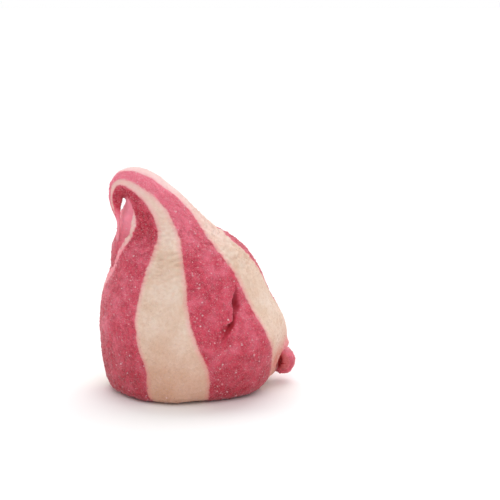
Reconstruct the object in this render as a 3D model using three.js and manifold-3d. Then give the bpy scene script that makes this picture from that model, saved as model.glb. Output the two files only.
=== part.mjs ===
// A sugared marshmallow kiss: one piece of foam squeezed out in pink and cream stripes. It stands on
// a flat sole, swells to a belly, narrows to a neck and curls over to its left into a drawn thread.
// A short stub is left on the ground where the foam was cut off, and the belly has a pinched fold.
// Millimetres, +Z up, the origin in the middle of the sole. -Y is the front and +X its right.
// Angles are in degrees about the piece's own axis, from +X (0) round by +Y (90), so -90 faces front.

import * as THREE from "three";
import Module from "manifold-3d";

// ---- Driving dimensions ----

// The rings that the foam passes through, from the sole up to the thread's end: the ring's centre and
// radius, its lean, which is how far its plane has tipped over towards -X, and for the stripes, how
// far they have turned with it and how closely they are drawn together at the front.
const RINGS = [
  { name: "sole", x: 0.1, y: 0.0, z: 0.0, radius: 14.9, lean: 0, turn: 13, gather: 1.16 },
  { name: "foot", x: 0.35, y: 0.0, z: 0.9, radius: 17.6, lean: 0, turn: 13, gather: 1.16 },
  { name: "heel", x: 0.75, y: 0.0, z: 3.2, radius: 19.1, lean: 0, turn: 11, gather: 1.14 },
  { name: "hip", x: 1.15, y: 0.0, z: 8.2, radius: 20.3, lean: 0, turn: 8, gather: 1.08 },
  { name: "belly", x: 1.3, y: 0.0, z: 14.6, radius: 20.95, lean: 0, turn: 0, gather: 1.0 },
  { name: "shoulder", x: 0.05, y: 0.0, z: 21.4, radius: 19.05, lean: 0, turn: -1, gather: 0.96 },
  { name: "chest", x: -0.45, y: 0.0, z: 27.9, radius: 16.5, lean: 0, turn: -1, gather: 0.87 },
  { name: "collar", x: -2.1, y: 0.0, z: 32.8, radius: 14.4, lean: 0, turn: 3, gather: 0.68 },
  { name: "root", x: -4.6, y: -0.3, z: 36.5, radius: 10.8, lean: 2, turn: 14, gather: 0.63 },
  { name: "neck", x: -7.7, y: -0.6, z: 40.9, radius: 7.75, lean: 18, turn: 24, gather: 0.63 },
  { name: "bend", x: -10.0, y: -1.0, z: 44.8, radius: 5.35, lean: 43, turn: 14, gather: 0.56 },
  { name: "crown", x: -12.3, y: -1.5, z: 46.7, radius: 3.75, lean: 75, turn: 11, gather: 0.7 },
  { name: "fall", x: -14.75, y: -2.1, z: 46.15, radius: 2.8, lean: 107, turn: 32, gather: 0.72 },
  { name: "droop", x: -15.5, y: -2.9, z: 43.4, radius: 1.75, lean: 143, turn: 40, gather: 0.72 },
  { name: "taper", x: -15.3, y: -3.7, z: 41.3, radius: 1.05, lean: 170, turn: 38, gather: 0.72 },
  { name: "tip", x: -14.9, y: -4.5, z: 39.4, radius: 0.46, lean: 184, turn: 38, gather: 0.72 },
  { name: "thread", x: -14.7, y: -5.1, z: 37.9, radius: 0.29, lean: 180, turn: 38, gather: 0.72 },
  { name: "drip", x: -14.8, y: -5.8, z: 34.4, radius: 0.32, lean: 180, turn: 38, gather: 0.72 },
];
const RING_SPACING = 1.15; // between neighbouring rings of the mesh, along the middle line
const PINCH_SPAN = { from: 3, to: 6, spacing: 0.85 }; // and closer from the hip to the chest
const LAST_PRESSED_RING = 11; // the folds and lumps reach no further than the crown

// The mesh has this many sides round the body, half as many where the foam is thinner, and so on.
const SIDES = 96;
const HALVING_RADII = [8.6, 3.2, 1.2];
const PINCH_CROWDING = 0.55; // the share by which the sides stand closer together at the pinch
// The sides follow the steep far side of the pinch between these two points.
const PINCH_FAR_SIDE = { low: { angle: -60.5, height: 18.2 }, high: { angle: -47.5, height: 26.4 } };

// Folds pressed into the foam. A course is followed from its first point and is the fold's edge. On
// its left the skin drops down a bank to the depth, runs on as a floor of some width and rises again.
// The floor's width is counted from the edge, as the bank's is.
const FOLDS = [
  {
    name: "pinch",
    course: [
      { angle: -78.0, height: 13.3, depth: 0.0, bank: 2.2, floor: 1.6, rise: 2.0 },
      { angle: -70.5, height: 14.1, depth: 0.5, bank: 2.2, floor: 1.6, rise: 2.5 },
      { angle: -67.5, height: 14.9, depth: 0.9, bank: 2.2, floor: 1.6, rise: 2.4 },
      { angle: -65.0, height: 15.8, depth: 1.3, bank: 2.0, floor: 1.5, rise: 2.2 },
      { angle: -61.3, height: 16.9, depth: 1.7, bank: 1.8, floor: 1.3, rise: 1.8 },
      { angle: -59.2, height: 17.7, depth: 2.0, bank: 1.6, floor: 1.2, rise: 1.4 },
      { angle: -57.8, height: 18.4, depth: 2.2, bank: 1.4, floor: 1.1, rise: 1.1 },
      { angle: -55.8, height: 19.4, depth: 2.5, bank: 1.2, floor: 1.1, rise: 0.9 },
      { angle: -52.3, height: 20.3, depth: 2.7, bank: 1.0, floor: 1.5, rise: 0.9 },
      { angle: -50.2, height: 21.2, depth: 2.6, bank: 1.0, floor: 1.9, rise: 0.9 },
      { angle: -48.9, height: 22.3, depth: 2.3, bank: 1.0, floor: 1.8, rise: 0.9 },
      { angle: -48.0, height: 23.5, depth: 1.7, bank: 1.0, floor: 1.3, rise: 0.9 },
      { angle: -47.3, height: 24.9, depth: 0.9, bank: 1.0, floor: 1.0, rise: 0.9 },
      { angle: -46.6, height: 26.4, depth: 0.0, bank: 1.0, floor: 1.0, rise: 0.9 },
    ],
  },
  {
    name: "foot_notch",
    course: [
      { angle: -25.0, height: 9.0, depth: 0.0, bank: 1.0, floor: 1.0, rise: 2.0 },
      { angle: -20.0, height: 6.0, depth: 0.4, bank: 1.0, floor: 1.0, rise: 2.0 },
      { angle: -16.0, height: 3.0, depth: 0.9, bank: 1.0, floor: 1.0, rise: 2.0 },
      { angle: -13.0, height: -0.5, depth: 1.0, bank: 1.0, floor: 1.0, rise: 2.0 },
    ],
  },
  {
    name: "neck_tuck",
    course: [
      { angle: -158.0, height: 27.8, depth: 0.0, bank: 1.5, floor: 1.5, rise: 2.0 },
      { angle: -143.0, height: 32.8, depth: 0.4, bank: 1.5, floor: 1.5, rise: 2.0 },
      { angle: -128.0, height: 36.6, depth: 0.6, bank: 1.5, floor: 1.5, rise: 2.0 },
      { angle: -115.0, height: 40.3, depth: 0.6, bank: 1.5, floor: 1.5, rise: 2.0 },
      { angle: -112.0, height: 42.6, depth: 0.0, bank: 1.5, floor: 1.5, rise: 2.0 },
    ],
  },
];

// Soft swellings (rise above zero) and hollows (below zero) of the foam, each spread out like a bell.
const LUMPS = [
  { name: "lobe", angle: -47, height: 12.0, spread: 5.0, rise: 0.8 },
  { name: "stub_root", angle: 8, height: 8.6, spread: 1.8, rise: 1.6 },
  { name: "stub_tuck", angle: 3, height: 6.0, spread: 1.5, rise: -0.6 },
  { name: "stub_foot", angle: 5, height: 2.4, spread: 2.2, rise: 1.8 },
  { name: "belly_side", angle: 0, height: 14.0, spread: 3.5, rise: -0.3 },
  { name: "cream_foot", angle: -100, height: 0.5, spread: 4.5, rise: 0.35 },
  { name: "front_foot", angle: -68, height: 0.5, spread: 4.8, rise: -1.2 },
  { name: "heel_tuck", angle: -4, height: 0.5, spread: 2.8, rise: -2.2 },
  { name: "neck_side", angle: 180, height: 42.3, spread: 1.5, rise: 0.1 },
  { name: "curl_side", angle: 180, height: 45.6, spread: 1.2, rise: -0.6 },
  { name: "back_hollow", angle: 96, height: 17.0, spread: 7.0, rise: -0.8 },
  { name: "back_lobe", angle: 58, height: 9.0, spread: 7.5, rise: 0.5 },
];

// The cut-off stub beside the foot: half sizes of its plain oval, its place, the way that its puckered
// end faces, the slot pressed into that end and the pleats round it.
const STUB = {
  center: new THREE.Vector3(22.15, 3.6, 4.9),
  half: new THREE.Vector3(2.75, 2.9, 3.2),
  facing: new THREE.Vector3(-0.31, -1.0, 0.02),
  stretch: 0.18, // how its top is drawn up, as a share of the half height
  leanLeft: 0.9, // how far its top is drawn back to the left
  slot: { depth: 0.42, width: 0.2, length: 0.36 }, // as shares of the oval
  endReach: 0.4, // the slot is at its full depth where the oval faces this much ahead
  pleat: 0.05,
  pleats: 7,
  sides: 28,
  rows: 18,
};

// ---- Stripes ----

const PINK = new THREE.Color(0xcb5f72);
const CREAM = new THREE.Color(0xe6ccb6);
const FRONT_ANGLE = -85; // the stripes draw together about this angle
// Where the stripes meet at the belly; the first one, up to the second angle, is pink.
const SEAMS = [-178, -122.7, -85.3, -38.5, 5, 50, 93, 138];
// The cream stripe on the left is crowded into a sliver above the chest and ends at the neck.
const SLIVER = { rises: [21, 29], right: 15, left: 55, top: [36.5, 40.5], topRight: 4, closes: [8.6, 9.45] };
// The seam on the right turns away to the back above the chest.
const FAR_SEAM = { index: 4, rises: [34, 38], back: 30 };
const ALL_PINK_RING = 14.4; // past this ring the drawn-out tip is pink all round

const radians = THREE.MathUtils.degToRad;
const smoothstep = THREE.MathUtils.smoothstep;

// ---- The rings, smoothed ----

const course = (points) => new THREE.CatmullRomCurve3(points, false, "catmullrom", 0.5);
const middleLine = course(RINGS.map((r) => new THREE.Vector3(r.x, r.y, r.z)));
const girthLine = course(RINGS.map((r) => new THREE.Vector3(r.radius, r.lean, 0)));
const stripeLine = course(RINGS.map((r) => new THREE.Vector3(r.turn, r.gather, 0)));

// The ring at a place in RINGS, which may lie between two of them.
function ringAt(place) {
  const share = place / (RINGS.length - 1);
  const center = middleLine.getPoint(share);
  const girth = girthLine.getPoint(share);
  const stripe = stripeLine.getPoint(share);
  const lean = radians(girth.y);
  return {
    place,
    center,
    radius: girth.x,
    outward: new THREE.Vector3(Math.cos(lean), 0, Math.sin(lean)),
    turn: stripe.x,
    gather: stripe.y,
  };
}

// Places along RINGS about RING_SPACING apart, with at least three to each span.
function ringPlaces() {
  const places = [];
  for (let i = 0; i + 1 < RINGS.length; i++) {
    const a = RINGS[i];
    const b = RINGS[i + 1];
    const reach = Math.hypot(b.x - a.x, b.y - a.y, b.z - a.z, b.radius - a.radius);
    const near = i >= PINCH_SPAN.from && i < PINCH_SPAN.to;
    const count = Math.max(3, Math.round(reach / (near ? PINCH_SPAN.spacing : RING_SPACING)));
    for (let k = 0; k < count; k++) places.push(i + k / count);
  }
  places.push(RINGS.length - 1);
  return places;
}

// ---- Folds and lumps ----

// The smallest turn from one angle to another, from -180 to 180.
const angleBetween = (from, to) => THREE.MathUtils.euclideanModulo(to - from + 180, 360) - 180;

// How deep a fold is at an angle on a ring: the depth at the nearest point of its course, times a
// profile across it that is nothing on its right, and its bank, floor and rise on its left.
function foldDepth(fold, angle, ring) {
  const along = radians(1) * ring.radius;
  let nearest = Infinity;
  let depth = 0;
  for (let i = 0; i + 1 < fold.course.length; i++) {
    const a = fold.course[i];
    const b = fold.course[i + 1];
    const run = new THREE.Vector2((b.angle - a.angle) * along, b.height - a.height);
    const from = new THREE.Vector2(angleBetween(a.angle, angle) * along, ring.center.z - a.height);
    const share = THREE.MathUtils.clamp(from.dot(run) / run.lengthSq(), 0, 1);
    const away = from.clone().addScaledVector(run, -share).length();
    if (away < nearest) {
      nearest = away;
      const left = run.cross(from) > 0 ? away : 0;
      const here = (key) => THREE.MathUtils.lerp(a[key], b[key], share);
      const far = here("floor") + here("rise");
      const profile = smoothstep(left, 0, here("bank")) * (1 - smoothstep(left, here("floor"), far));
      depth = here("depth") * profile;
    }
  }
  return depth;
}

function lumpRise(lump, angle, ring) {
  const across = radians(angleBetween(lump.angle, angle)) * ring.radius;
  const up = ring.center.z - lump.height;
  return lump.rise * Math.exp(-(across ** 2 + up ** 2) / (2 * lump.spread ** 2));
}

// How far the skin stands off the plain ring.
function relief(angle, ring) {
  if (ring.place > LAST_PRESSED_RING) return 0;
  const rise = LUMPS.reduce((sum, lump) => sum + lumpRise(lump, angle, ring), 0);
  return FOLDS.reduce((sum, fold) => sum - foldDepth(fold, angle, ring), rise);
}

function skinPoint(angle, ring) {
  const radius = ring.radius + relief(angle, ring);
  return ring.center
    .clone()
    .addScaledVector(ring.outward, radius * Math.cos(radians(angle)))
    .add(new THREE.Vector3(0, radius * Math.sin(radians(angle)), 0));
}

// ---- Stripe colours ----

// The angle of a seam on a ring: turned with the ring, drawn in towards the front, and shifted for
// the sliver and for the seam on the right.
function seamAngle(index, ring) {
  const seam = SEAMS[index];
  const { z } = ring.center;
  const drawn = (ring.gather - 1) * Math.sin(radians(seam - FRONT_ANGLE));
  const crowded = smoothstep(z, ...SLIVER.rises);
  const shifts = {
    0: SLIVER.right * crowded + SLIVER.topRight * smoothstep(z, ...SLIVER.top),
    [FAR_SEAM.index]: FAR_SEAM.back * smoothstep(z, ...FAR_SEAM.rises),
    [SEAMS.length - 1]: SLIVER.left * crowded,
  };
  return seam + ring.turn + THREE.MathUtils.radToDeg(drawn) + (shifts[index] ?? 0);
}

function stripeColor(angle, ring) {
  if (ring.place > ALL_PINK_RING) return PINK;
  const seams = SEAMS.map((_, index) => seamAngle(index, ring));
  const closed = smoothstep(ring.place, ...SLIVER.closes);
  seams[seams.length - 1] = THREE.MathUtils.lerp(seams.at(-1), seams[0] + 360, closed);
  const past = THREE.MathUtils.euclideanModulo(angle - seams[0], 360);
  const passed = seams.filter((seam) => past >= seam - seams[0]).length;
  return passed % 2 === 1 ? PINK : CREAM;
}

// ---- Solids ----

const wasm = await Module();
wasm.setup();

// Collects corners, each with its colour, and triangles, and closes them to a solid.
class Skin {
  corners = [];
  triangles = [];

  corner(point, color) {
    this.corners.push(point.x, point.y, point.z, color.r, color.g, color.b);
    return this.corners.length / 6 - 1;
  }

  triangle(a, b, c) {
    this.triangles.push(a, b, c);
  }

  // The band between two rings of corners, the upper with as many sides or half as many. Where they
  // have as many, its diagonals climb to the right, as the pinch does.
  band(lower, upper) {
    const step = lower.length / upper.length;
    for (let j = 0; j < upper.length; j++) {
      const next = (j + 1) % upper.length;
      const run = Array.from({ length: step + 1 }, (_, k) => lower[(j * step + k) % lower.length]);
      if (step === 1) {
        this.triangle(run[0], run[1], upper[next]);
        this.triangle(run[0], upper[next], upper[j]);
      } else {
        this.triangle(run[0], run[1], upper[j]);
        this.triangle(run[1], upper[next], upper[j]);
        this.triangle(run[1], run[2], upper[next]);
      }
    }
  }

  // Closes a ring with a fan round one corner; `upwards` when the fan faces along the ring's run.
  fan(ring, pole, upwards) {
    ring.forEach((corner, j) => {
      const next = ring[(j + 1) % ring.length];
      if (upwards) this.triangle(corner, next, pole);
      else this.triangle(next, corner, pole);
    });
  }

  solid() {
    const mesh = new wasm.Mesh({
      numProp: 6,
      vertProperties: new Float32Array(this.corners),
      triVerts: new Uint32Array(this.triangles),
    });
    return new wasm.Manifold(mesh);
  }
}

// The angle of one side at a height: the first side runs along the pinch's far side, and the others
// are spread evenly from it and then drawn closer together about it.
function sideAngle(share, height) {
  const { low, high } = PINCH_FAR_SIDE;
  const held = THREE.MathUtils.clamp(height, low.height, high.height);
  const first = THREE.MathUtils.mapLinear(held, low.height, high.height, low.angle, high.angle);
  const even = 360 * share;
  const crowding = THREE.MathUtils.radToDeg(PINCH_CROWDING) * Math.sin(radians(even));
  return first + even - crowding;
}

function sidesOf(ring) {
  const halvings = HALVING_RADII.filter((radius) => ring.radius < radius).length;
  return ring.place < 1 ? SIDES : SIDES / 2 ** Math.min(halvings, 3);
}

// The foam itself: every ring's corners joined by bands, with a flat sole and a rounded thread end.
function foamSolid() {
  const skin = new Skin();
  const rings = ringPlaces().map(ringAt);
  const loops = rings.map((ring) => {
    const sides = sidesOf(ring);
    return Array.from({ length: sides }, (_, j) => {
      const angle = sideAngle(j / sides, ring.center.z);
      return skin.corner(skinPoint(angle, ring), stripeColor(angle, ring));
    });
  });
  loops.slice(1).forEach((loop, i) => skin.band(loops[i], loop));
  skin.fan(loops[0], skin.corner(rings[0].center, CREAM), false);
  const last = rings.at(-1);
  const end = last.center.clone().add(new THREE.Vector3(0, 0, -last.radius));
  skin.fan(loops.at(-1), skin.corner(end, PINK), true);
  return skin.solid();
}

// The stub: an oval whose end is pressed in to a slot and pleated round it, and whose top is drawn up.
function stubSolid() {
  const skin = new Skin();
  const facing = STUB.facing.clone().normalize();
  const aside = new THREE.Vector3(0, 0, 1).cross(facing).normalize();
  const upward = facing.clone().cross(aside);
  const point = (fromEnd, round) => {
    const side = Math.sin(fromEnd) * Math.cos(round);
    const up = Math.sin(fromEnd) * Math.sin(round);
    const ahead = Math.cos(fromEnd);
    const { depth, width, length } = STUB.slot;
    const front = smoothstep(ahead, 0, STUB.endReach);
    const slot = depth * Math.exp(-((side / width) ** 2) - (up / length) ** 2) * front;
    const pleat = STUB.pleat * Math.cos(STUB.pleats * round) * Math.sin(fromEnd) ** 2;
    const reach = 1 - slot + pleat * Math.exp(-fromEnd);
    const way = facing.clone().multiplyScalar(ahead);
    way.addScaledVector(aside, side).addScaledVector(upward, up);
    const top = Math.max(way.z, 0) ** 2;
    const drawn = new THREE.Vector3(-STUB.leanLeft * top, 0, STUB.stretch * top * way.z * STUB.half.z);
    return way.multiply(STUB.half).multiplyScalar(reach).add(STUB.center).add(drawn);
  };
  // The corners run clockwise as seen from ahead, so that the bands face outwards.
  const loops = [];
  for (let i = 1; i < STUB.rows; i++) {
    const fromEnd = (Math.PI * i) / STUB.rows;
    const corners = Array.from({ length: STUB.sides }, (_, j) => {
      return skin.corner(point(fromEnd, (-2 * Math.PI * j) / STUB.sides), PINK);
    });
    loops.push(corners);
  }
  loops.slice(1).forEach((loop, i) => skin.band(loops[i], loop));
  skin.fan(loops[0], skin.corner(point(0, 0), PINK), false);
  skin.fan(loops.at(-1), skin.corner(point(Math.PI, 0), PINK), true);
  return skin.solid();
}

// A solid's surface as a three.js geometry with its colours.
function geometryOf(solid) {
  const { numProp, vertProperties, triVerts } = solid.getMesh();
  const count = vertProperties.length / numProp;
  const pick = (first) => {
    const values = new Float32Array(count * 3);
    for (let i = 0; i < count; i++) {
      values.set(vertProperties.subarray(i * numProp + first, i * numProp + first + 3), 3 * i);
    }
    return new THREE.BufferAttribute(values, 3);
  };
  const geometry = new THREE.BufferGeometry();
  geometry.setAttribute("position", pick(0));
  geometry.setAttribute("color", pick(3));
  geometry.setIndex(new THREE.BufferAttribute(triVerts, 1));
  geometry.computeVertexNormals();
  return geometry;
}

const sugaredFoam = new THREE.MeshStandardMaterial({
  color: 0xffffff,
  vertexColors: true,
  roughness: 0.75,
  metalness: 0.0,
});

const marshmallow = new THREE.Mesh(geometryOf(foamSolid().add(stubSolid())), sugaredFoam);
marshmallow.name = "marshmallow";

const kiss = new THREE.Group();
kiss.add(marshmallow);

export default kiss;
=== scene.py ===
"""A sugared marshmallow kiss: striped foam squeezed out and drawn up into a curl, with its sugar.

The foam's skin is worked out on a grid of two parameters, the place along the rings that the foam
passes through and the angle round them. Crystals of sugar are set on it afterwards. Sizes are in
millimetres up to the point where a mesh is made, and angles are in degrees from +X round by +Y.
"""

import bpy
import numpy as np
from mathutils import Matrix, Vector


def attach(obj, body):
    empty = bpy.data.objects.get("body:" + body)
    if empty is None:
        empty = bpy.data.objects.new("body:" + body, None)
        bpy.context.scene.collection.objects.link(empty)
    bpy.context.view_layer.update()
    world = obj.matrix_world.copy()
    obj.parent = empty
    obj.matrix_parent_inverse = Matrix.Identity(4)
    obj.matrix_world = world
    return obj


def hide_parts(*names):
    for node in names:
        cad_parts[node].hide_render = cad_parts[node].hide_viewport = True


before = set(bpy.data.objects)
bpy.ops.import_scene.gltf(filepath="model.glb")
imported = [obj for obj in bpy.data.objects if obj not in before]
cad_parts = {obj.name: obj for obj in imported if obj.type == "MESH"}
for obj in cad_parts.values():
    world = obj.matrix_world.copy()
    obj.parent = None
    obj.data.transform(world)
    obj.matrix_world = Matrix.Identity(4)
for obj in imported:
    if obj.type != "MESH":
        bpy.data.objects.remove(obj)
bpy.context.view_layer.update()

MM = 0.001
NODE = "marshmallow"

# ---- The foam's driving dimensions ----

# Each ring's centre and radius, its lean towards -X, and for the stripes how far they have turned
# and how closely they are drawn together at the front.
RINGS = {
    #         x      y     z      radius lean turn gather
    "sole": (0.1, 0.0, 0.0, 14.9, 0, 13, 1.16),
    "foot": (0.35, 0.0, 0.9, 17.6, 0, 13, 1.16),
    "heel": (0.75, 0.0, 3.2, 19.1, 0, 11, 1.14),
    "hip": (1.15, 0.0, 8.2, 20.3, 0, 8, 1.08),
    "belly": (1.3, 0.0, 14.6, 20.95, 0, 0, 1.0),
    "shoulder": (0.05, 0.0, 21.4, 19.05, 0, -1, 0.96),
    "chest": (-0.45, 0.0, 27.9, 16.5, 0, -1, 0.87),
    "collar": (-2.1, 0.0, 32.8, 14.4, 0, 3, 0.68),
    "root": (-4.6, -0.3, 36.5, 10.8, 2, 14, 0.63),
    "neck": (-7.7, -0.6, 40.9, 7.75, 18, 24, 0.63),
    "bend": (-10.0, -1.0, 44.8, 5.35, 43, 14, 0.56),
    "crown": (-12.3, -1.5, 46.7, 3.75, 75, 11, 0.7),
    "fall": (-14.75, -2.1, 46.15, 2.8, 107, 32, 0.72),
    "droop": (-15.5, -2.9, 43.4, 1.75, 143, 40, 0.72),
    "taper": (-15.3, -3.7, 41.3, 1.05, 170, 38, 0.72),
    "tip": (-14.9, -4.5, 39.4, 0.46, 184, 38, 0.72),
    "thread": (-14.7, -5.1, 37.9, 0.29, 180, 38, 0.72),
    "drip": (-14.8, -5.8, 34.4, 0.32, 180, 38, 0.72),
}
PLACE = {name: place for place, name in enumerate(RINGS)}

COLUMNS = 400  # grid points round the foam
ROWS = 236  # grid rows from the sole's edge to the thread's end
COURSE_STEPS = 4000  # steps in which the way along the rings is measured
SOLE_ROWS = 8  # grid rows across the sole
PINCH_CROWDING = 0.35  # the share by which the columns stand closer together at the pinch
PINCH_HEIGHT, PINCH_REACH, PINCH_ROWS = 20.0, 6.0, 0.9  # where, and how much, the rows do too

# Folds, as (angle, height, depth, floor, rise) along the course that is the fold's edge. On the left
# of the course the foam drops down a steep bank to the depth, and past the width of the floor it
# rises again. `overhang` is how far the edge leans out over the valley, and the far side back at it,
# and `bead` is how much the foam swells up beside both.
FOLDS = {
    "pinch": {
        "course": [
            (-78.0, 13.3, 0.0, 0.4, 2.0), (-70.5, 14.1, 0.5, 0.5, 2.8), (-67.5, 14.9, 0.9, 0.6, 2.6),
            (-65.0, 15.8, 1.3, 0.6, 2.4), (-61.3, 16.9, 1.7, 0.5, 1.8), (-59.2, 17.7, 2.0, 0.4, 1.1),
            (-57.8, 18.4, 2.2, 0.4, 0.5), (-55.8, 19.4, 1.6, 0.8, 0.4), (-52.3, 20.3, 1.7, 1.6, 0.4),
            (-50.2, 21.2, 2.6, 2.0, 0.4), (-48.9, 22.3, 2.3, 1.9, 0.4), (-48.0, 23.5, 1.7, 1.4, 0.4),
            (-47.3, 24.9, 0.9, 0.7, 0.3), (-46.6, 26.4, 0.0, 0.3, 0.3),
        ],
        "bank": 0.4, "overhang": (0.3, 0.2), "bead": 0.15,
    },
    "foot_notch": {
        "course": [
            (-25.0, 9.0, 0.0, 1.0, 2.0), (-20.0, 6.0, 0.4, 1.0, 2.0), (-16.0, 3.0, 0.9, 1.0, 2.0),
            (-13.0, -0.5, 1.0, 1.0, 2.0),
        ],
        "bank": 1.0, "overhang": (0.0, 0.0), "bead": 0.0,
    },
    "neck_tuck": {
        "course": [
            (-158.0, 27.8, 0.0, 1.5, 2.0), (-143.0, 32.8, 0.4, 1.5, 2.0), (-128.0, 36.6, 0.6, 1.5, 2.0),
            (-115.0, 40.3, 0.6, 1.5, 2.0), (-112.0, 42.6, 0.0, 1.5, 2.0),
        ],
        "bank": 1.5, "overhang": (0.0, 0.0), "bead": 0.0,
    },
}
BEAD_REACH = 0.7  # how far from the fold's side the bead swells
BANK_PAINTED_SHADE, PAINTED_SHADE_REACH = 0.6, 0.5  # how much painted shade a bank has away from its foot, and how wide the full painted shade is
PAINTED_SHADE_EDGE = (-0.15, 0.1)  # from this far behind a fold's edge to this far past it the painted shade sets in
PINCH_FAR_SIDE = ((-60.5, 18.2), (-47.5, 26.4))  # angle and height at the ends of its steep far side

# Soft swellings and hollows, each spread out like a bell: angle, height, spread, rise.
LUMPS = {
    "lobe": (-47, 12.0, 5.0, 0.8),
    "stub_root": (8, 9.6, 2.8, 0.9),
    "stub_brow": (8, 8.4, 1.2, 1.3),
    "stub_tuck": (3, 6.0, 1.5, -0.6),
    "stub_foot": (5, 2.4, 2.2, 1.8),
    "cream_foot": (-100, 0.5, 4.5, 0.35),
    "front_foot": (-68, 0.5, 4.8, -1.2),
    "heel_tuck": (-4, 0.5, 2.8, -2.2),
    "neck_side": (180, 42.3, 1.5, 0.1),
    "curl_side": (180, 45.9, 1.0, -0.8),
    "back_hollow": (96, 17.0, 7.0, -0.8),
    "back_lobe": (58, 9.0, 7.5, 0.5),
}

# Stripes: where they meet at the belly, the first stripe being pink.
FRONT_ANGLE = -85
SEAMS = (-178, -122.7, -85.3, -38.5, 5, 50, 93, 138)
# Turns of single seams: the seam, the heights between which it turns, and by how many degrees. The
# first and the last crowd the left cream stripe to a sliver, and the others turn to the back.
SEAM_TURNS = (
    (-178, (21, 29), 15), (-178, (36.5, 40.5), 4), (138, (21, 29), 55),
    (5, (34, 38), 30), (-38.5, (31, 40), 7),
)
SLIVER_CLOSES = (8.6, 9.45)  # ring places between which the sliver is pinched shut
# Past this ring place the tip is all pink, and that much further from a seam with each place more.
ALL_PINK_PLACE, ALL_PINK_SLOPE = 14.4, 2.0
SEAM_WANDER, WANDER_SIZE = 0.07, 4.0  # how far the seams stray from side to side, and over what length
SLIVER, LEFT_PINK, FRONT_CREAM, FAR_PINK = 0, 1, 2, 7  # stripes by number, counted from the sliver

# The foam's state, by the heights or ring places between which it sets in or ends.
INNER_RISES, INNER_ENDS = (31, 38), (14.4, 13.6)  # wet, clotted and with painted shade on the inner side of the curl
UNDER_CURL = (10.3, 11.2)  # the far stripe is the neck's bare wall before this, then the curl's inner side
SLIVER_BLUSH_RISES, SLIVER_BLUSH_ENDS = (20, 26), (36, 32)
# painted shade towards the bottom: none at the first height, full at the second
FOOT_PAINTED_SHADE_ENDS = (20, 0)
THREAD_RISES = (14.0, 16.0)
# painted top light: none at the first height, full at the second
TOP_LIGHT_RISES = (30, 46)
STUB_BLUSH = (3, 8.4, 1.9)  # angle, height and spread of the pink that runs on from the stub
STUB_SHADE_SPOT = (-12, 5.6, 3.0)  # and of the painted shade, brownish pink, on the cream in front of it
# How far each state goes, 1 being all the way.
FOOT_PAINTED_SHADE, FOOT_PAINTED_SHADE_ON_PINK = 0.75, 0.25  # painted shade low down; the second comes on top of the first on the pink
# the clotted foam's wetness with painted shade, and the painted shade in front of the stub with its pink
CLOTTED_SHADE_AND_WET, STUB_SHADE_DARKENING, STUB_SHADE_PINK = 0.65, 0.8, 0.7
THREAD_DRAWN, WALL_DRAWN = 0.45, 0.2
FRONT_CREAM_LESS_TOP_LIT = 0.6  # how much of the painted top light the front cream stripe is left without

# The sugared crust's relief: how high each kind of it stands, its size, and where it lies.
SLOW_CRUST = ((0.07, 8.0, 1), (0.035, 3.2, 2))  # each with its height, size and seed
CLUMP_SIZES, SMALL_CLUMPS, CLUMP_MEAN = (1.9, 1.1), 0.6, 1.2
CREAM_CLUMPS, PINK_CLUMPS, NECK_CLUMPS, CURL_CLUMPS = 0.025, 0.03, 0.09, 0.06  # each on top of the last
CREASE_STARTS = (0.0, -0.9)  # the clumps' heights between which the creases beside them get painted shade
NECK_RISES, NECK_ENDS = (28, 35), (12.0, 14.0)
CHEST_RISES, CHEST_ENDS = (24, 29), (38, 42)
WRINKLE_HEIGHT, WRINKLE_SIZE, WRINKLE_SQUEEZE = 0.13, 2.8, 3.2  # the last is how flat they lie
GROOVE_DEPTH, GROOVE_WIDTH = 0.09, 0.55
THIN_RADII = (0.4, 3.0)  # between these radii the crust grows to its full height

# ---- Curves and noise ----


def smoothstep(value, low, high):
    """0 below low and 1 above high, with 3 t^2 - 2 t^3 between them; low may be above high."""
    t = np.clip((value - low) / (high - low), 0.0, 1.0)
    return t * t * (3 - 2 * t)


def through(points, place):
    """The uniform Catmull-Rom curve through rows of points, at places from 0 to their count less 1.

    Between the middle two of four neighbouring rows, t from 0 to 1, it is
    p1 + t (p2 - p0)/2 + t^2 (2 p0 - 5 p1 + 4 p2 - p3)/2 + t^3 (3 p1 - p0 - 3 p2 + p3)/2.
    """
    points = np.asarray(points, float)
    held = np.vstack([2 * points[0] - points[1], points, 2 * points[-1] - points[-2]])
    span = np.clip(np.floor(place).astype(int), 0, len(points) - 2)
    t = (place - span)[..., None]
    p0, p1, p2, p3 = (held[span + k] for k in range(4))
    bend = 2 * p0 - 5 * p1 + 4 * p2 - p3
    swing = 3 * p1 - p0 - 3 * p2 + p3
    return p1 + (t * (p2 - p0) + t**2 * bend + t**3 * swing) / 2


def waves(points, size, seed, count=40):
    """Smooth noise of about unit height: the sum of plane waves of about one length, each in its own
    direction and phase, divided by the root of half their count."""
    rng = np.random.default_rng(seed)
    ways = rng.normal(size=(count, 3))
    ways /= np.linalg.norm(ways, axis=1, keepdims=True)
    ways *= 2 * np.pi / (size * rng.uniform(0.7, 1.5, (count, 1)))
    phases = rng.uniform(0, 2 * np.pi, count)
    total = np.zeros(points.shape[:-1])
    for way, phase in zip(ways, phases):
        total += np.cos(points @ way + phase)
    return total / np.sqrt(count / 2)


def pebbles(points, size, seed):
    """Rounded grains with creases between them: the size, without its sign, of smooth noise."""
    return np.abs(waves(points, size, seed))


# ---- Surfaces ----

# The cut-off stub: its middle, half sizes, and the way its puckered end faces.
STUB_CENTER = np.array([22.15, 3.6, 4.9])
STUB_HALF = np.array([2.75, 2.9, 3.2])
STUB_FACING = np.array([-0.31, -1.0, 0.02])
STUB_STRETCH, STUB_LEAN = 0.18, 0.9  # how far its top is drawn up, as a share, and over to the left
STUB_CLUMPS, STUB_SLOW = (0.08, 0.9, 21), (0.05, 2.2, 22)  # its crust, with height, size and seed
STUB_ROWS, STUB_COLUMNS = 130, 200
END_STARTS = (0.0, 0.4)  # how far ahead the end's relief sets in, as a share
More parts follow.
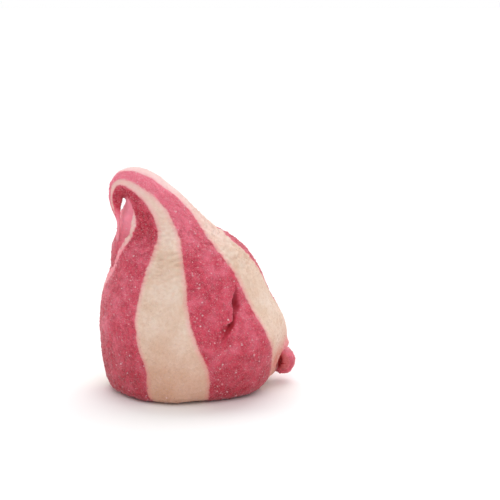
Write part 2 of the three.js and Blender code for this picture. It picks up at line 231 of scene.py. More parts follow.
# Its relief as shares of the half sizes: the slot it is pressed in at, the crease across the end from
# there, the trough inside the rim, and the pleats.
SLOT_DEPTH, SLOT_WIDTH, SLOT_LENGTH = 0.42, 0.22, 0.42
SLOT_SKEW, SLOT_SIDE = 0.25, -0.1
CREASE_DEPTH, CREASE_RISE, CREASE_WIDTH = 0.09, -0.1, 0.05
CREASE_STARTS_AT, CREASE_ENDS_AT = (0.0, 0.12), (0.65, 0.35)
# Polar angles of the rim: its mean, its sway, and from where to where past it the foam turns raw.
RIM_REACH, RIM_SWAY, RIM_INSIDE = 0.68, 0.27, (0.1, -0.2)
TROUGH_DEPTH, TROUGH_WIDTH = 0.05, 0.13
PLEAT_DEPTH, PLEATS = 0.04, 7
PAINTED_SHADE_WELL = ((-0.1, 0.4), (0.15, 0.6))  # middle and half width of a well of painted shade beside the slot, to the side and upwards
# As how deep the slot, crease, trough and that well count for the painted shade that lies in them.
SLOT_PAINTED_SHADE, CREASE_PAINTED_SHADE, TROUGH_PAINTED_SHADE, WELL_PAINTED_SHADE = 3.0, 1.8, 0.4, 1.6
# painted shade towards the stub's bottom: its share, then none at the first height and full at the second
STUB_PAINTED_SHADE, STUB_PAINTED_SHADE_ENDS = 0.5, (5, 0)
STUB_DRAWN, STUB_TOP_DRAWN, STUB_TOP_RISES = 0.1, 0.3, (5.6, 8.2)
INSIDE_PINK = 3.0  # the stub is all pink, as if this far from a seam
# The crevice beside the stub, which gets painted shade: how far that reaches, how much it counts for as
# painted shade, and its limits.
CREVICE_REACH, CREVICE_PAINTED_SHADE = 2.4, 2.8
CREVICE_BACK, CREVICE_ENDS = 2, (8, 5)


def stub_closeness(points):
    """1 on the stub's plain oval and falling off as exp(-(gap / reach)^2), in front of it and low."""
    gap = (np.linalg.norm((points - STUB_CENTER) / STUB_HALF, axis=-1) - 1) * STUB_HALF.mean()
    in_front = smoothstep(points[..., 1], STUB_CENTER[1] + CREVICE_BACK, STUB_CENTER[1])
    in_front = in_front * smoothstep(points[..., 2], *CREVICE_ENDS)
    return np.exp(-((np.maximum(gap, 0) / CREVICE_REACH) ** 2)) * in_front


class Surface:
    """A grid of points, rows by columns round, with what its finish follows at every point.

    `seam` is the distance to the nearest seam, above zero in pink, and `depth` how much painted shade
    lies on it in folds, crevices and the stub's slot. From 0 to about 1, `painted_shade_and_wet` is how
    much painted shade darkens it low down, beside the stub and on the clotted foam, which is also wet and
    dull there,
    `flush` how far cream has turned pink, `low` how much painted shade lies in the creases between
    clumps, `painted_top_light` how much painted top light lightens it, `drawn` how far drawn out pale and
    smooth, and `raw` how bare of sugar.
    """

    def normals(self):
        """The cross product of the step round and the step along, one long."""
        around = np.roll(self.points, -1, axis=1) - np.roll(self.points, 1, axis=1)
        along = np.gradient(self.points, axis=0)
        normal = np.cross(around, along)
        return normal / np.maximum(np.linalg.norm(normal, axis=-1, keepdims=True), 1e-9)


class Skin(Surface):
    """The foam's own surface: rows along its rings and columns round them."""

    def __init__(self):
        self.place = self.row_places()[:, None]
        rings = through(list(RINGS.values()), self.place[:, 0])[:, None, :]
        self.center, self.radius = rings[..., :3], rings[..., 3]
        self.lean, self.turn, self.gather = np.radians(rings[..., 4]), rings[..., 5], rings[..., 6]
        self.height = self.center[..., 2]
        self.angle = self.column_angles()
        self.outward = np.stack([np.cos(self.lean), 0 * self.lean, np.sin(self.lean)], -1)
        self.pressed = self.place <= PLACE["crown"]

        plain = self.stand(self.radius)
        self.seam = self.seam_distance(plain)
        relief, self.depth, shift = self.folds_and_lumps()
        self.points = self.stand(self.radius + relief) + shift
        self.points += self.normals() * self.crust(plain)[..., None]
        self.points[..., 2] = np.maximum(self.points[..., 2], 0.0)
        self.normal = self.normals()
        self.find_state()

    def find_state(self):
        """How much painted shade the foam has low down, in front of the stub and in the crevice, how
        flushed and drawn it is, and how much painted top light it has, each a product of smooth steps. It
        is clotted, wet and with painted shade on the inner side of the curl, and the wall of the neck
        behind there is bare."""
        crevice = stub_closeness(self.points)
        # painted shade in the crevice beside the stub
        self.depth += CREVICE_PAINTED_SHADE * crevice**3
        curled = smoothstep(self.height, *INNER_RISES)
        under = (self.stripe == FAR_PINK) * smoothstep(self.place, *UNDER_CURL)
        inner = np.maximum(self.stripe == LEFT_PINK, under)
        self.inner = inner * curled * smoothstep(self.place, *INNER_ENDS)
        self.wall = (self.stripe == FAR_PINK) * curled * smoothstep(self.place, *UNDER_CURL[::-1])
        on_pink = smoothstep(self.seam, -0.2, 0.4)
        # painted shade on the cream in front of the stub, darker and pinker
        painted_stub_shade = self.bell(*STUB_SHADE_SPOT)
        # painted shade, darker towards the bottom and more so on the pink
        foot = FOOT_PAINTED_SHADE + FOOT_PAINTED_SHADE_ON_PINK * on_pink
        foot = foot * smoothstep(self.points[..., 2], *FOOT_PAINTED_SHADE_ENDS)
        # the clotted foam is wet, and has painted shade from the curl above it
        clotted = CLOTTED_SHADE_AND_WET * self.inner * smoothstep(self.seam, 0.0, 1.0)
        self.painted_shade_and_wet = np.maximum.reduce([foot + STUB_SHADE_DARKENING * painted_stub_shade, crevice, clotted])
        lower_sliver = (self.stripe == SLIVER) * smoothstep(self.height, *SLIVER_BLUSH_ENDS)
        lower_sliver = lower_sliver * smoothstep(self.height, *SLIVER_BLUSH_RISES)
        self.flush = lower_sliver + self.bell(*STUB_BLUSH) + STUB_SHADE_PINK * painted_stub_shade
        self.drawn = THREAD_DRAWN * smoothstep(self.place, *THREAD_RISES) + WALL_DRAWN * self.wall
        bare = FRONT_CREAM_LESS_TOP_LIT * (self.stripe == FRONT_CREAM)
        # painted top light: lighter towards the top, less on the front cream stripe, none on the clotted
        # foam
        self.painted_top_light = smoothstep(self.height, *TOP_LIGHT_RISES) * (1 - bare) * (1 - self.inner)

    def row_places(self):
        """Ring places an equal way apart, measured along the rings' centres and radii together, and
        closer by a bell of the height about the pinch."""
        fine = np.linspace(0, len(RINGS) - 1, COURSE_STEPS)
        course = through(list(RINGS.values()), fine)[:, :4]
        steps = np.linalg.norm(np.diff(course, axis=0), axis=1)
        steps *= 1 + PINCH_ROWS * np.exp(-(((course[1:, 2] - PINCH_HEIGHT) / PINCH_REACH) ** 2))
        way = np.r_[0, np.cumsum(steps)]
        return np.interp(np.linspace(0, way[-1], ROWS), way, fine)

    def column_angles(self):
        """The angle of the pinch's far side at each height, plus an even turn less the crowding
        times its sine."""
        (low_angle, low), (high_angle, high) = PINCH_FAR_SIDE
        first = np.interp(self.height, [low, high], [low_angle, high_angle])
        even = 360 * np.arange(COLUMNS) / COLUMNS
        return first + even - np.degrees(PINCH_CROWDING * np.sin(np.radians(even)))

    def stand(self, radius):
        """Ring centre + radius (cos angle . outward + sin angle . Y)."""
        angle = np.radians(self.angle)
        side = (radius * np.cos(angle))[..., None] * self.outward
        ahead = (radius * np.sin(angle))[..., None] * np.array([0.0, 1.0, 0.0])
        return self.center + side + ahead

    def across(self, angle):
        """How far round the ring each point lies from an angle, in millimetres."""
        turn = (self.angle - angle + 180) % 360 - 180
        return np.radians(turn) * self.radius

    def bell(self, angle, height, spread):
        """exp(-way^2 / (2 spread^2)), with the way from an angle and height measured on the rings."""
        return np.exp(-(self.across(angle) ** 2 + (self.height - height) ** 2) / (2 * spread**2))

    def seam_distance(self, plain):
        """Millimetres to the nearest seam, above zero in pink, with a slight wander."""
        seams = []
        for seam in SEAMS:
            drawn = np.degrees((self.gather - 1) * np.sin(np.radians(seam - FRONT_ANGLE)))
            turns = [turn for turn in SEAM_TURNS if turn[0] == seam]
            turned = sum(by * smoothstep(self.height, *rises) for _, rises, by in turns)
            seams.append(seam + self.turn + drawn + turned)
        closed = smoothstep(self.place, *SLIVER_CLOSES)
        seams[-1] = seams[-1] + (seams[0] + 360 - seams[-1]) * closed
        past = (self.angle - seams[0]) % 360
        passed = sum((past >= seam - seams[0]).astype(int) for seam in seams)
        nearest = np.full(past.shape, np.inf)
        for seam in seams:
            away = np.abs(self.across(seam))
            if seam is seams[0] or seam is seams[-1]:
                away = np.where(self.place > SLIVER_CLOSES[1], np.inf, away)
            nearest = np.minimum(nearest, away)
        self.stripe = passed % len(SEAMS)
        pink = passed % 2 == 1
        distance = np.where(pink, nearest, -nearest) + SEAM_WANDER * waves(plain, WANDER_SIZE, 11)
        return np.maximum(distance, ALL_PINK_SLOPE * (self.place - ALL_PINK_PLACE))

    def fold(self, course, bank, overhang, bead):
        """The depth of one fold, the painted shade in there, and the shift of its sides over the valley.

        Depth is that of the nearest point of the course, times a smooth drop over the bank and, past
        the floor's width, a smooth rise; beside it a bead swells up as exp(-(way behind / reach)^2).
        A side's shift dies away as exp(-way behind its edge), and evenly down its bank. The far side
        has these only where it is as steep as the bank, and there the painted shade lies at its foot.
        """
        shape = self.angle.shape
        nearest, depth, painted_shade = np.full(shape, np.inf), np.zeros(shape), np.zeros(shape)
        shift = np.zeros((*shape, 2))
        for (angle, height, *start), (next_angle, next_height, *end) in zip(course, course[1:]):
            run_x = np.radians(next_angle - angle) * self.radius
            run_z = next_height - height
            from_x, from_z = self.across(angle), self.height - height
            length = np.hypot(run_x, run_z)
            share = np.clip((from_x * run_x + from_z * run_z) / length**2, 0, 1)
            away = np.hypot(from_x - share * run_x, from_z - share * run_z)
            left = (run_x * from_z - run_z * from_x) > 0
            deep, floor, rise = (a + (b - a) * share for a, b in zip(start, end))
            far = floor + rise
            steep = smoothstep(rise, 3 * bank, bank)

            valley = left * smoothstep(away, 0, bank) * (1 - smoothstep(away, floor, far))
            behind = np.where(left, away - far, away)
            swell = np.exp(-((behind / BEAD_REACH) ** 2)) * (behind > 0) * np.where(left, steep, 1)
            edge = np.where(left, np.clip(1 - away / bank, 0, 1), np.exp(-away))
            far_edge = np.where(away > far, np.exp(far - away), np.clip((away - floor) / rise, 0, 1))
            lean = overhang[0] * edge - overhang[1] * far_edge * left * steep
            over = np.stack([-run_z + 0 * away, run_x + 0 * away], -1) / length[..., None]
            # painted shade in the valley: fullest at a steep far side's foot, fading across the floor of a
            # gentle one
            at_foot = BANK_PAINTED_SHADE + (1 - BANK_PAINTED_SHADE) * np.exp(-(((far - away) / PAINTED_SHADE_REACH) ** 2))
            inside = smoothstep(np.where(left, away, -away), *PAINTED_SHADE_EDGE) * (away < far)
            shade = inside * (steep * at_foot + (1 - steep) * (1 - smoothstep(away, 0, far)))

            closer = away < nearest
            nearest = np.where(closer, away, nearest)
            depth = np.where(closer, deep * valley - bead * swell * np.minimum(deep, 1.0), depth)
            painted_shade = np.where(closer, deep * shade, painted_shade)
            lean = lean * np.minimum(deep, 1.0)
            shift = np.where(closer[..., None], lean[..., None] * over, shift)
        return depth, painted_shade, shift

    def folds_and_lumps(self):
        """The lumps' sum less the folds' depths, the folds' painted shade, and their shift as a vector."""
        rise = np.zeros(self.angle.shape)
        for *place, lump in LUMPS.values():
            rise += lump * self.bell(*place)
        painted_shade, shift = np.zeros(self.angle.shape), np.zeros((*self.angle.shape, 2))
        for fold in FOLDS.values():
            fold_depth, fold_painted_shade, fold_shift = self.fold(**fold)
            rise -= fold_depth
            painted_shade = np.maximum(painted_shade, fold_painted_shade)
            shift += fold_shift
        angle = np.radians(self.angle)
        round_way = np.stack([-np.sin(angle), np.cos(angle), 0 * angle], -1)
        moved = shift[..., :1] * round_way + shift[..., 1:] * np.array([0.0, 0.0, 1.0])
        return rise * self.pressed, painted_shade * self.pressed, moved * self.pressed[..., None]

    def crust(self, plain):
        """The sugared skin's own relief: slow unevenness, pebbly clumps, drawn wrinkles and seams.

        Each is smooth noise times its height and a mask. The pebbles stand highest on the pink of
        the neck, and the wrinkles lie across the cream of the chest.
        """
        pink = smoothstep(self.seam, -0.3, 0.5)
        neck = smoothstep(self.height, *NECK_RISES) * (1 - smoothstep(self.place, *NECK_ENDS))
        slow = sum(height * waves(plain, size, seed) for height, size, seed in SLOW_CRUST)
        large, small = (pebbles(plain, size, seed) for size, seed in zip(CLUMP_SIZES, (3, 4)))
        clumps = large + SMALL_CLUMPS * small - CLUMP_MEAN
        # painted shade in the creases between the neck's clumps
        self.low = smoothstep(clumps, *CREASE_STARTS) * pink * neck * (self.stripe != FAR_PINK)
        height = CREAM_CLUMPS + PINK_CLUMPS * pink
        height = height + NECK_CLUMPS * pink * neck * (self.stripe != FAR_PINK)
        height = height + CURL_CLUMPS * pink * neck * (self.stripe == LEFT_PINK)
        chest = smoothstep(self.height, *CHEST_RISES) * (1 - smoothstep(self.height, *CHEST_ENDS))
        wrinkles = waves(plain * np.array([1.0, 1.0, WRINKLE_SQUEEZE]), WRINKLE_SIZE, 5)
        wrinkles = wrinkles * WRINKLE_HEIGHT * (1 - pink) * chest
        groove = -GROOVE_DEPTH * np.exp(-((self.seam / GROOVE_WIDTH) ** 2))
        return (slow + clumps * height + wrinkles + groove) * smoothstep(self.radius, *THIN_RADII)

    def grid(self):
        """The rows with the flat sole's own rows ahead of them, and the poles at both ends."""
        shares = np.linspace(0, 1, SOLE_ROWS + 1)[1:-1, None, None]
        middle = np.array([RINGS["sole"][0], 0.0, 0.0])
        sole = middle + shares * (self.points[0] - middle)
        end = np.array(RINGS["drip"][:3]) - [0, 0, RINGS["drip"][3]]
        return np.concatenate([sole, self.points]), middle, end

    def spread(self, values):
        """Values of the rows, repeated for the sole's rows and the two poles."""
        sole = np.repeat(values[:1], SOLE_ROWS - 1, axis=0)
        return np.r_[sole.ravel(), values.ravel(), values[0, 0], values[-1, 0]]


class Stub(Surface):
    """An oval pressed in at one side of its end, with a crease, a rim and pleats round that slot.

    The way out at polar angle p from the end and turn t round it has a share s to the side and r
    upwards. It is scaled by the half sizes and by 1 - slot exp(-((s - skew r - side)/w)^2 - (r/l)^2)
    - crease exp(-((r - c)/w)^2) to the right of the slot - trough exp(-((p - rim)/w)^2)
    + pleat cos(pleats t) sin(p)^2 exp(-p). With the share z of that way that points up, the top is
    drawn up by stretch z^3 and over to the left by lean z^2. The whole gets a pebbly crust.
    """

    def __init__(self):
        polar = np.pi * (1 - np.arange(1, STUB_ROWS)[:, None] / STUB_ROWS)
        turn = 2 * np.pi * np.arange(STUB_COLUMNS)[None, :] / STUB_COLUMNS
        self.points, self.depth, self.raw = self.relief(polar, turn)
        self.normal = self.normals()
        self.seam = np.full(self.depth.shape, INSIDE_PINK)
        # painted shade, darker towards the bottom of the stub
        self.painted_shade_and_wet = STUB_PAINTED_SHADE * smoothstep(self.points[..., 2], *STUB_PAINTED_SHADE_ENDS)
        self.drawn = STUB_DRAWN + STUB_TOP_DRAWN * smoothstep(self.points[..., 2], *STUB_TOP_RISES)
        self.flush = self.low = self.painted_top_light = 0 * self.painted_shade_and_wet

    def relief(self, polar, turn):
        """The points at those angles, how much painted shade lies there, and how raw."""
        facing = STUB_FACING / np.linalg.norm(STUB_FACING)
        side = np.cross([0.0, 0.0, 1.0], facing)
        side /= np.linalg.norm(side)
        upward = np.cross(facing, side)
        s, r = np.sin(polar) * np.cos(turn), np.sin(polar) * np.sin(turn)
        ahead = np.cos(polar) + 0 * turn
        front = smoothstep(ahead, *END_STARTS)
        beside = (s - SLOT_SKEW * r - SLOT_SIDE) / SLOT_WIDTH
        slot = np.exp(-(beside**2) - (r / SLOT_LENGTH) ** 2) * front
        crease = np.exp(-(((r - CREASE_RISE) / CREASE_WIDTH) ** 2)) * front
        crease = crease * smoothstep(s, *CREASE_STARTS_AT) * smoothstep(s, *CREASE_ENDS_AT)
        rim = RIM_REACH + RIM_SWAY * np.cos(turn)
        trough = np.exp(-(((polar - rim) / TROUGH_WIDTH) ** 2))
        pleat = np.cos(PLEATS * turn) * np.sin(polar) ** 2 * np.exp(-polar)
        pressed = SLOT_DEPTH * slot + CREASE_DEPTH * crease + TROUGH_DEPTH * trough
        reach = 1 - pressed + PLEAT_DEPTH * pleat
        way = s[..., None] * side + r[..., None] * upward + ahead[..., None] * facing
        top = np.maximum(way[..., 2], 0) ** 2
        stretch = STUB_STRETCH * top * way[..., 2] * STUB_HALF[2]
        drawn_up = np.stack([-STUB_LEAN * top, 0 * top, stretch], -1)
        point = STUB_CENTER + way * STUB_HALF * reach[..., None] + drawn_up
        crust = STUB_CLUMPS[0] * pebbles(point, *STUB_CLUMPS[1:])
        crust = crust + STUB_SLOW[0] * waves(point, *STUB_SLOW[1:])
        point = point + way * crust[..., None]
        point[..., 2] = np.maximum(point[..., 2], 0.0)
        raw = smoothstep(polar, *(rim + way_in for way_in in RIM_INSIDE)) + 0 * turn
        # painted shade in a well beside the slot
        (side_middle, side_half), (rise_middle, rise_half) = PAINTED_SHADE_WELL
        red = np.exp(-(((s - side_middle) / side_half) ** 2) - ((r - rise_middle) / rise_half) ** 2) * front
        painted_shade = SLOT_PAINTED_SHADE * slot + CREASE_PAINTED_SHADE * crease + TROUGH_PAINTED_SHADE * trough + WELL_PAINTED_SHADE * red
        return point, painted_shade, raw

    def grid(self):
        """The rows, and the poles at the back and in the end."""
        poles = [self.relief(np.array([[polar]]), np.array([[0.0]]))[0] for polar in (np.pi, 0.0)]
        return self.points, poles[0][0, 0], poles[1][0, 0]

    def spread(self, values):
        """Values of the rows and, as a mean of the next row, of the two poles."""
        return np.r_[values.ravel(), values[0].mean(), values[-1].mean()]


# ---- Meshes ----


def add_mesh(name, points, faces, values, smooth=True):
    """An object of the points (mm) and faces, with each named float value kept on its points."""
    mesh = bpy.data.meshes.new(name)
    mesh.from_pydata((points * MM).tolist(), [], faces)
    for key, numbers in values.items():
        layer = mesh.attributes.new(key, "FLOAT", "POINT")
        layer.data.foreach_set("value", np.asarray(numbers, np.float32).ravel())
    mesh.polygons.foreach_set("use_smooth", np.full(len(mesh.polygons), smooth))
    mesh.validate()
    made = bpy.data.objects.new(name, mesh)
    bpy.context.scene.collection.objects.link(made)
    return made


def tube_faces(rows, columns):
    """Quads between rows of a closed grid, and a fan to a pole after the grid's points at each end."""
    index = np.arange(rows * columns).reshape(rows, columns)
    beside = np.roll(index, -1, axis=1)
    quads = np.stack([index[:-1], beside[:-1], beside[1:], index[1:]], -1).reshape(-1, 4)
    poles = np.full(columns, rows * columns)
    first = np.stack([beside[0], index[0], poles], -1)
    last = np.stack([index[-1], beside[-1], poles + 1], -1)
    return quads.tolist() + first.tolist() + last.tolist()


FOLLOWED = ("seam", "depth", "painted_shade_and_wet", "flush", "low", "painted_top_light")  # what foam and crystals both keep
FOAM_ONLY = ("raw", "drawn")


def surface_piece(name, surface):
    """The surface as a closed mesh that keeps what the finish follows."""
    points, first, last = surface.grid()
    flat = np.concatenate([points.reshape(-1, 3), [first, last]])
    kept = [key for key in FOLLOWED + FOAM_ONLY if hasattr(surface, key)]
    values = {key: surface.spread(getattr(surface, key)) for key in kept}
    return add_mesh(name, flat, tube_faces(*points.shape[:2]), values)


# ---- Sugar ----

GRAIN = (
    np.array([(1, 1, 1), (1, -1, -1), (-1, 1, -1), (-1, -1, 1)], float) * 0.8,
    np.array([(0, 1, 2), (0, 3, 1), (0, 2, 3), (1, 3, 2)]),
)
OCTAHEDRON = (
    np.array([(1, 0, 0), (-1, 0, 0), (0, 1, 0), (0, -1, 0), (0, 0, 1), (0, 0, -1)], float),
    np.array([(0, 2, 4), (2, 1, 4), (1, 3, 4), (3, 0, 4), (2, 0, 5), (1, 2, 5), (3, 1, 5), (0, 3, 5)]),
)


def cut_crystal(sides=6):
    """A six-sided block with cut edges: rings of (height, radius) joined by flat faces."""
    rings = ((-0.8, 0.6), (-0.5, 0.95), (0.5, 0.95), (0.8, 0.6))
    turn = 2 * np.pi * np.arange(sides) / sides
    corners = [np.stack([r * np.cos(turn), r * np.sin(turn), z + 0 * turn], -1) for z, r in rings]
    poles = [(0, 0, rings[0][0]), (0, 0, rings[-1][0])]
    faces = tube_faces(len(rings), sides)
    triangles = [face[:3] for face in faces]
    triangles += [[face[0], face[2], face[3]] for face in faces if len(face) > 3]
    return np.concatenate([*corners, poles]), np.array(triangles)


def turned(rng, count):
    """Random turns as matrices, from quaternions of four normal numbers brought to length one."""
    numbers = rng.normal(size=(4, count))
    w, x, y, z = numbers / np.linalg.norm(numbers, axis=0)
    return np.stack([
        1 - 2 * (y * y + z * z), 2 * (x * y - z * w), 2 * (x * z + y * w),
        2 * (x * y + z * w), 1 - 2 * (x * x + z * z), 2 * (y * z - x * w),
        2 * (x * z - y * w), 2 * (y * z + x * w), 1 - 2 * (x * x + y * y),
    ], -1).reshape(count, 3, 3)


SUNK = (-0.25, 0.1)  # how far a crystal's middle stands out of the foam, as shares of its length
STRETCH = (0.65, 1.15)
CRYSTAL_REST = 0.02  # no crystal reaches lower than this


def sugar_piece(name, surface, crystal, count, size, weight, seed):
    """Crystals set into a surface: cells of its grid drawn with a chance of area times weight, a
    point spread evenly inside each cell, and the crystal's corners stretched, turned and moved there.

    The length is from the first `size` to the second, with the square of an even draw between.
    """
    rng = np.random.default_rng(seed)
    points, normal = surface.points, surface.normal
    around = np.roll(points, -1, axis=1)[:-1] - points[:-1]
    along = points[1:] - points[:-1]
    area = np.linalg.norm(np.cross(around, along), axis=-1)
    chance = (area * weight[:-1]).ravel()
    cell = rng.choice(chance.size, count, p=chance / chance.sum())
    row, column = np.divmod(cell, points.shape[1])
    u, v = rng.uniform(size=(2, count, 1))
    center = points[row, column] + u * around[row, column] + v * along[row, column]
    length = size[0] + (size[1] - size[0]) * rng.uniform(size=(count, 1)) ** 2
    center = center + normal[row, column] * length * rng.uniform(*SUNK, (count, 1))
    corners, faces = crystal
    stretch = length[:, None] / 2 * rng.uniform(*STRETCH, (count, 1, 3))
    shaped = np.einsum("nij,nkj->nki", turned(rng, count), corners[None] * stretch)
    placed = center[:, None] + shaped
    placed[..., 2] = np.maximum(placed[..., 2], CRYSTAL_REST)
    first = np.arange(count) * len(corners)
    joined = (faces[None] + first[:, None, None]).reshape(-1, faces.shape[1])
    values = {key: getattr(surface, key)[row, column] for key in FOLLOWED}
    values["tint"] = rng.uniform(size=count)
    values = {key: np.repeat(numbers, len(corners)) for key, numbers in values.items()}
    return add_mesh(name, placed.reshape(-1, 3), joined.tolist(), values, smooth=False)


# ---- Shader maths ----


class Value:
    """A socket that can be reckoned with: an operator adds the Math node of its name."""

    def __init__(self, shader, socket):
        self.shader, self.socket = shader, socket

    def math(self, operation, *others):
        inputs = {index: value for index, value in enumerate((self, *others))}
        return self.shader.node("Math", {"operation": operation}, inputs)

    def __add__(self, other):
        return self.math("ADD", other)

    def __sub__(self, other):
        return self.math("SUBTRACT", other)

    def __mul__(self, other):
        return self.math("MULTIPLY", other)

    def __rsub__(self, other):
        return self.shader.node("Math", {"operation": "SUBTRACT"}, {0: other, 1: self})

    __radd__, __rmul__ = __add__, __mul__


class Shader:
    """The node tree of one material, or of the world."""

    def __init__(self, name, kind=bpy.data.materials, output="OutputMaterial"):
        self.owner = kind.new(name)
        self.owner.use_nodes = True
        self.tree, self.output = self.owner.node_tree, output
        self.tree.nodes.clear()

    def node(self, kind, settings, inputs, output=0):
        """One node of a type, its settings, then its sockets' values or links; gives one output."""
        made = self.tree.nodes.new("ShaderNode" + kind)
        for key, value in settings.items():
            setattr(made, key, value)
        for key, value in inputs.items():
            if isinstance(value, Value):
                self.tree.links.new(value.socket, made.inputs[key])
            else:
                made.inputs[key].default_value = value
        return None if output is None else Value(self, made.outputs[output])

    def attribute(self, name):
        """A number kept on the mesh's points."""
        return self.node("Attribute", {"attribute_name": name}, {}, "Fac")

    def noise(self, size, detail=2.0, roughness=0.5):
        """Noise from 0 to 1 whose features are about so many millimetres apart, in object space."""
        place = self.node("TexCoord", {}, {}, "Object")
        inputs = {"Vector": place, "Scale": 1 / (size * MM), "Detail": detail, "Roughness": roughness}
        return self.node("TexNoise", {}, inputs, "Fac")

    def step(self, value, low, high):
        """0 at low, 1 at high and smooth between."""
        settings = {"interpolation_type": "SMOOTHSTEP"}
        inputs = {"Value": value, "From Min": low, "From Max": high}
        if low > high:
            inputs = {"Value": value, "From Min": high, "From Max": low, "To Min": 1.0, "To Max": 0.0}
        return self.node("MapRange", settings, inputs)

    def mix(self, share, first, second, way="MIX"):
        """Two colours mixed: all of the first at 0, and all of the second, or their blend, at 1."""
        settings = {"data_type": "RGBA", "blend_type": way}
        return self.node("Mix", settings, {0: share, 6: first, 7: second}, 2)

    def finish(self, **inputs):
        """The material of one Principled shader, whose sockets are named with low lines for spaces."""
        surface = self.node("BsdfPrincipled", {}, {k.replace("_", " "): v for k, v in inputs.items()})
        return self.end(surface)

    def end(self, surface):
        """Joins the last node to the tree's output, and gives the material or world."""
        self.node(self.output, {}, {"Surface": surface}, None)
        return self.owner


def tone(red, green, blue):
    """A colour from its display values, 0 to 255, as the light that they stand for."""
    shares = np.array([red, green, blue]) / 255
    linear = np.where(shares > 0.04045, ((shares + 0.055) / 1.055) ** 2.4, shares / 12.92)
    return (*linear.tolist(), 1.0)


# ---- Finishes ----

PINK_DEEP = tone(188, 54, 76)
PINK = tone(214, 78, 99)
# a paler pink for random patches and the flush, and the pink's painted top light
PINK_PALE_AND_TOP_LIT = tone(250, 142, 164)
PINK_DRAWN = tone(255, 186, 198)
PINK_RAW = tone(190, 98, 96)
# painted shade: a deep red for folds, crevices and the stub's slot
PAINTED_SHADE_RED = tone(160, 6, 20)
CREAM_FRESH = tone(238, 216, 200)
# the cream's painted top light
CREAM_TOP_LIT = tone(255, 216, 220)
CREAM = tone(228, 198, 176)
CREAM_WARM = tone(212, 174, 144)
BLUSH = tone(240, 158, 164)
SUGAR = tone(255, 226, 230)
CREAM_SHADE_AND_WET = tone(230, 193, 174)  # this and the next: what cream and pink are multiplied by for painted shade, and where the clotted foam is wet
PINK_SHADE_AND_WET = tone(224, 178, 184)

# What varies the colour: the size of its noise, the noise's values between which it sets in, and
# the share that it has at most.
DETAIL = 3.0
EDGE_SIZE, EDGE_RAGGED, EDGE_SOFT = 0.6, 0.5, (-0.35, 0.25)  # the last two in millimetres
PATCH_SIZE, PATCH_FROM, PATCH_SHARE = 3.5, (0.4, 0.7), 0.4
CLUMP_SIZE, CLUMP_FROM, CLUMP_ROUGHNESS = 1.0, (0.3, 0.66), 0.55
FRESH_SIZE, FRESH_FROM = 6.0, (0.35, 0.7)
WARM_SIZE, WARM_FROM, WARM_SHARE = 0.8, (0.6, 0.35), 0.25
BLUSH_FROM, BLUSH_SHARE = (-1.5, 0.0), 0.55  # in millimetres from the seam
# the second share is painted shade in the creases between clumps, the third painted top light
FLUSH_SHARE, CREASE_SHADE_SHARE, TOP_LIGHT_SHARE, RAW_SHARE = 0.75, 0.45, 0.65, 0.7
# where the painted shade of folds sets in, and its share at most
PAINTED_SHADE_FROM, PAINTED_SHADE_SHARE = (0.4, 2.2), 0.9

# The foam's skin: fine pits and coarser grit, how high both stand, and how rough the pits make it.
PIT_SIZE, PIT_ROUGHNESS, PIT_SHARE, GRIT_SIZE = 0.16, 0.65, 0.6, 0.6
BUMP_STRENGTH, BUMP_HEIGHT = 0.8, 0.12
ROUGH_FROM, ROUGH_BY = 0.65, 0.25


def stripe_colour(shader):
    """Pink and cream by the distance to the seam, with a soft ragged edge and a blush beside it,
    lighter towards the top with painted top light, and darker with painted shade low down, beside
    the stub, in the creases between clumps and in the folds."""
    ragged = (shader.noise(EDGE_SIZE, DETAIL) - 0.5) * EDGE_RAGGED
    seam = shader.attribute("seam") + ragged
    pink_side = shader.step(seam, *EDGE_SOFT)
    patches = shader.step(shader.noise(PATCH_SIZE, DETAIL), *PATCH_FROM)
    clumps = shader.step(shader.noise(CLUMP_SIZE, DETAIL, CLUMP_ROUGHNESS), *CLUMP_FROM)
    pink = shader.mix(clumps, PINK_DEEP, PINK)
    pink = shader.mix(patches * PATCH_SHARE, pink, PINK_PALE_AND_TOP_LIT)
    fresh = shader.step(shader.noise(FRESH_SIZE, DETAIL), *FRESH_FROM)
    warm = shader.step(shader.noise(WARM_SIZE, DETAIL), *WARM_FROM)
    cream = shader.mix(fresh, CREAM, CREAM_FRESH)
    cream = shader.mix(warm * WARM_SHARE, cream, CREAM_WARM)
    cream = shader.mix(shader.step(seam, *BLUSH_FROM) * BLUSH_SHARE, cream, BLUSH)
    cream = shader.mix(shader.attribute("flush") * FLUSH_SHARE, cream, PINK_PALE_AND_TOP_LIT)
    colour = shader.mix(pink_side, cream, pink)
    # painted top light, lighter towards the top
    painted_top_light = shader.mix(pink_side, CREAM_TOP_LIT, PINK_PALE_AND_TOP_LIT)
    # painted shade in the creases between clumps
    colour = shader.mix(shader.attribute("low") * CREASE_SHADE_SHARE, colour, PINK_DEEP)
    colour = shader.mix(shader.attribute("painted_top_light") * TOP_LIGHT_SHARE, colour, painted_top_light)
    colour = shader.mix(shader.attribute("drawn"), colour, PINK_DRAWN)
    colour = shader.mix(shader.attribute("raw") * RAW_SHARE, colour, PINK_RAW)
    # painted shade low down, beside the stub and in the crevice, and the wet clotted foam
    shade_and_wet_tone = shader.mix(pink_side, CREAM_SHADE_AND_WET, PINK_SHADE_AND_WET)
    colour = shader.mix(shader.attribute("painted_shade_and_wet"), colour, shade_and_wet_tone, "MULTIPLY")
    # painted shade in the folds, the crevice and the stub's slot
    painted_shade = shader.step(shader.attribute("depth"), *PAINTED_SHADE_FROM)
    return shader.mix(painted_shade * PAINTED_SHADE_SHARE, colour, PAINTED_SHADE_RED)


